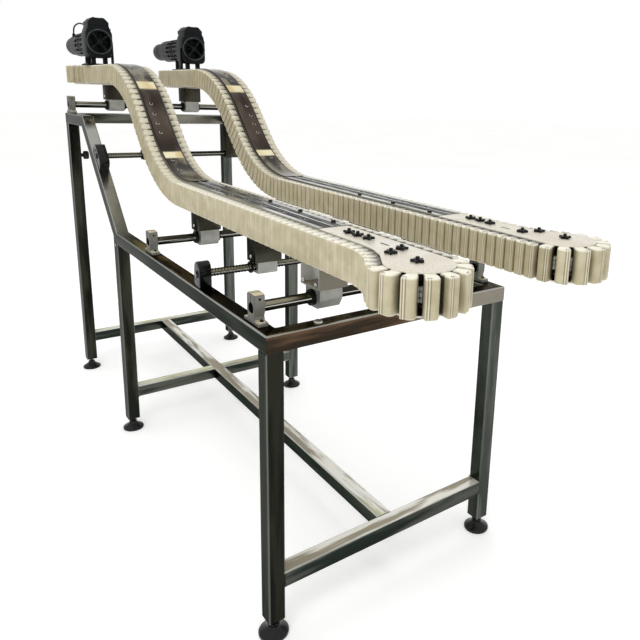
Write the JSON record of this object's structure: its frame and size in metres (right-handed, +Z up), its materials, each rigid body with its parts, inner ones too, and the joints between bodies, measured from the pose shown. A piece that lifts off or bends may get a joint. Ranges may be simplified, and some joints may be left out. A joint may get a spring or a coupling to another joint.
{
  "type": "bottle gripper conveyor",
  "caption": "Side-grip bottle conveyor: twin mirrored gripper-chain tracks rise over a stainless table frame, each with a rear motor drive and lead-screw width adjustment.",
  "frame": {"origin": "on the floor, under the middle of the whole machine's box", "axes": "+Z up, +Y along the lane from the low tail end to the raised drive end, +X to the right when facing +Y"},
  "size_m": [0.886, 3.2559, 1.827],
  "materials": {
    "mirror_steel": "mirror polished stainless tube",
    "bracket_steel": "polished folded sheet",
    "chrome_shaft": "ground and chromed",
    "cast_grey": "satin cast",
    "black_plastic": "satin moulded",
    "foot_rubber": "matt moulded",
    "beam_metal": "mill finish, lightly stained",
    "bronze_sheet": "mirror sheet with a bronze tone",
    "wheel_plastic": "satin moulded",
    "pad_rubber": "ivory, slightly glossy",
    "motor_paint": "satin paint",
    "lead_rubber": "matt sheath"
  },
  "bodies": {
    "frame": {"front_leg_frame": "mirror_steel", "middle_leg_frame": "mirror_steel", "rear_leg_frame": "mirror_steel", "left_side_rail": "mirror_steel", "right_side_rail": "mirror_steel", "front_guide_shaft": "chrome_shaft", "rear_guide_shaft": "chrome_shaft", "top_guide_shaft": "chrome_shaft", "left_front_shaft_support": "cast_grey", "left_rear_shaft_support": "cast_grey", "left_top_shaft_support": "cast_grey", "left_table_screw_block": "black_plastic", "left_slope_screw_block": "black_plastic", "right_front_shaft_support": "cast_grey", "right_rear_shaft_support": "cast_grey", "right_top_shaft_support": "cast_grey", "right_table_screw_block": "black_plastic", "right_slope_screw_block": "black_plastic"},
    "left_conveyor": {"left_track_beam": "beam_metal", "left_slope_cover": "bronze_sheet", "left_idler_plate": "beam_metal", "left_gripper_chain": "pad_rubber", "left_gearbox": "motor_paint", "left_motor": "motor_paint", "left_motor_mount": "motor_paint", "left_front_slide_block": "cast_grey", "left_front_bracket": "bracket_steel", "left_rear_carrier": "cast_grey", "left_top_carrier": "cast_grey", "left_table_nut_carrier": "cast_grey", "left_slope_nut_carrier": "cast_grey", "left_motor_lead": "lead_rubber"},
    "right_conveyor": {"right_track_beam": "beam_metal", "right_slope_cover": "bronze_sheet", "right_idler_plate": "beam_metal", "right_gripper_chain": "pad_rubber", "right_gearbox": "motor_paint", "right_motor": "motor_paint", "right_motor_mount": "motor_paint", "right_front_slide_block": "cast_grey", "right_front_bracket": "bracket_steel", "right_rear_carrier": "cast_grey", "right_top_carrier": "cast_grey", "right_table_nut_carrier": "cast_grey", "right_slope_nut_carrier": "cast_grey", "right_motor_lead": "lead_rubber"},
    "left_rotor": {"left_motor_fan": "black_plastic"},
    "left_drive": {"left_drive_sprocket": "wheel_plastic"},
    "left_idler": {"left_idler_wheel": "wheel_plastic"},
    "right_rotor": {"right_motor_fan": "black_plastic"},
    "right_drive": {"right_drive_sprocket": "wheel_plastic"},
    "right_idler": {"right_idler_wheel": "wheel_plastic"},
    "table_screw": {"table_lead_screw": "chrome_shaft"},
    "slope_screw": {"slope_lead_screw": "chrome_shaft"},
    "left_front_foot": {"left_front_levelling_foot": "foot_rubber"},
    "right_front_foot": {"right_front_levelling_foot": "foot_rubber"},
    "left_middle_foot": {"left_middle_levelling_foot": "foot_rubber"},
    "right_middle_foot": {"right_middle_levelling_foot": "foot_rubber"},
    "left_rear_foot": {"left_rear_levelling_foot": "foot_rubber"},
    "right_rear_foot": {"right_rear_levelling_foot": "foot_rubber"}
  },
  "joints": [
    {"name": "left_conveyor_slide", "type": "slide", "parent": "frame", "child": "left_conveyor", "axis": [1, 0, 0], "range_m": [-0.04, 0.1]},
    {"name": "right_conveyor_slide", "type": "slide", "parent": "frame", "child": "right_conveyor", "axis": [1, 0, 0], "range_m": [-0.1, 0.04]},
    {"name": "table_screw_turn", "type": "hinge", "parent": "frame", "child": "table_screw", "pos_m": [0, -0.67652, 0.947], "axis": [1, 0, 0], "range_deg": [-1500, 3700]},
    {"name": "slope_screw_turn", "type": "hinge", "parent": "frame", "child": "slope_screw", "pos_m": [0, 0.49172, 1.19699], "axis": [1, 0, 0], "range_deg": [-1500, 3700]},
    {"name": "left_rotor_spin", "type": "hinge", "parent": "left_conveyor", "child": "left_rotor", "pos_m": [-0.24127, 1.10348, 1.712], "axis": [0, 1, 0], "continuous": true},
    {"name": "left_drive_spin", "type": "hinge", "parent": "left_conveyor", "child": "left_drive", "pos_m": [-0.24127, 1.31348, 1.55], "axis": [0, 0, 1], "continuous": true},
    {"name": "left_idler_spin", "type": "hinge", "parent": "left_conveyor", "child": "left_idler", "pos_m": [-0.24127, -1.51152, 1.105], "axis": [0, 0, 1], "continuous": true},
    {"name": "right_rotor_spin", "type": "hinge", "parent": "right_conveyor", "child": "right_rotor", "pos_m": [0.24127, 1.10348, 1.712], "axis": [0, 1, 0], "continuous": true},
    {"name": "right_drive_spin", "type": "hinge", "parent": "right_conveyor", "child": "right_drive", "pos_m": [0.24127, 1.31348, 1.55], "axis": [0, 0, 1], "continuous": true},
    {"name": "right_idler_spin", "type": "hinge", "parent": "right_conveyor", "child": "right_idler", "pos_m": [0.24127, -1.51152, 1.105], "axis": [0, 0, 1], "continuous": true},
    {"name": "left_front_foot_level", "type": "slide", "parent": "frame", "child": "left_front_foot", "axis": [0, 0, 1], "range_m": [-0.03, 0.012]},
    {"name": "right_front_foot_level", "type": "slide", "parent": "frame", "child": "right_front_foot", "axis": [0, 0, 1], "range_m": [-0.03, 0.012]},
    {"name": "left_middle_foot_level", "type": "slide", "parent": "frame", "child": "left_middle_foot", "axis": [0, 0, 1], "range_m": [-0.03, 0.012]},
    {"name": "right_middle_foot_level", "type": "slide", "parent": "frame", "child": "right_middle_foot", "axis": [0, 0, 1], "range_m": [-0.03, 0.012]},
    {"name": "left_rear_foot_level", "type": "slide", "parent": "frame", "child": "left_rear_foot", "axis": [0, 0, 1], "range_m": [-0.03, 0.012]},
    {"name": "right_rear_foot_level", "type": "slide", "parent": "frame", "child": "right_rear_foot", "axis": [0, 0, 1], "range_m": [-0.03, 0.012]}
  ],
  "couplings": [
    {"joint": "right_conveyor_slide", "follows": "left_conveyor_slide", "ratio": -1},
    {"joint": "table_screw_turn", "follows": "left_conveyor_slide", "rad_per_m": 628.32},
    {"joint": "slope_screw_turn", "follows": "left_conveyor_slide", "rad_per_m": 628.32},
    {"joint": "left_drive_spin", "follows": "left_rotor_spin", "ratio": 0.066667},
    {"joint": "left_idler_spin", "follows": "left_rotor_spin", "ratio": 0.066667},
    {"joint": "right_drive_spin", "follows": "right_rotor_spin", "ratio": 0.066667},
    {"joint": "right_idler_spin", "follows": "right_rotor_spin", "ratio": 0.066667}
  ]
}
